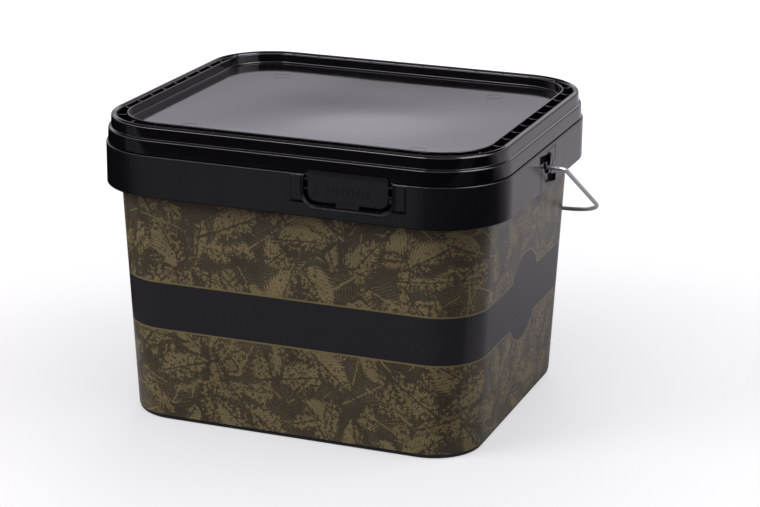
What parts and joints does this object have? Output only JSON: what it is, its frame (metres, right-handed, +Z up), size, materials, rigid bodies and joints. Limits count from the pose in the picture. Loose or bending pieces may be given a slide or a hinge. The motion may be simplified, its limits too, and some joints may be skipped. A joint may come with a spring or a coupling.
{
  "type": "bait bucket",
  "caption": "Rectangular black plastic bait bucket with a press-on lid, a tear-open flap, a printed leaf-camouflage wrap and a wire bail with a roller grip.",
  "frame": {"origin": "under the middle of the tub, in the plane that the foot ring stands on", "axes": "+X along the long side, to the right as seen from the front with the flap; +Y to the back, where the bail hangs; +Z up"},
  "size_m": [0.328, 0.2691, 0.2211],
  "materials": {
    "tub_plastic": "satin-gloss black moulded polypropylene",
    "lid_plastic": "gloss black moulded polypropylene",
    "printed_film": "satin printed in-mould film",
    "bail_steel": "drawn zinc-plated wire",
    "grip_plastic": "matt black moulded plastic"
  },
  "bodies": {
    "tub": {"tub": "tub_plastic", "label_wrap": "printed_film"},
    "lid": {"lid": "lid_plastic"},
    "flap": {"tamper_flap": "tub_plastic"},
    "bail": {"bail_wire": "bail_steel"},
    "grip": {"bail_grip": "grip_plastic"}
  },
  "joints": [
    {"name": "lid_lift", "type": "slide", "parent": "tub", "child": "lid", "axis": [0, 0, 1], "range_m": [0, 0.06]},
    {"name": "flap_fold", "type": "hinge", "parent": "tub", "child": "flap", "pos_m": [0.0508, -0.1338, 0.17995], "axis": [1, 0, 0], "range_deg": [0, 110]},
    {"name": "bail_swing", "type": "hinge", "parent": "tub", "child": "bail", "pos_m": [0, 0, 0.186], "axis": [1, 0, 0], "range_deg": [0, 234]},
    {"name": "grip_spin", "type": "hinge", "parent": "bail", "child": "grip", "pos_m": [0, 0.12725, 0.11866], "axis": [1, 0, 0], "continuous": true}
  ]
}
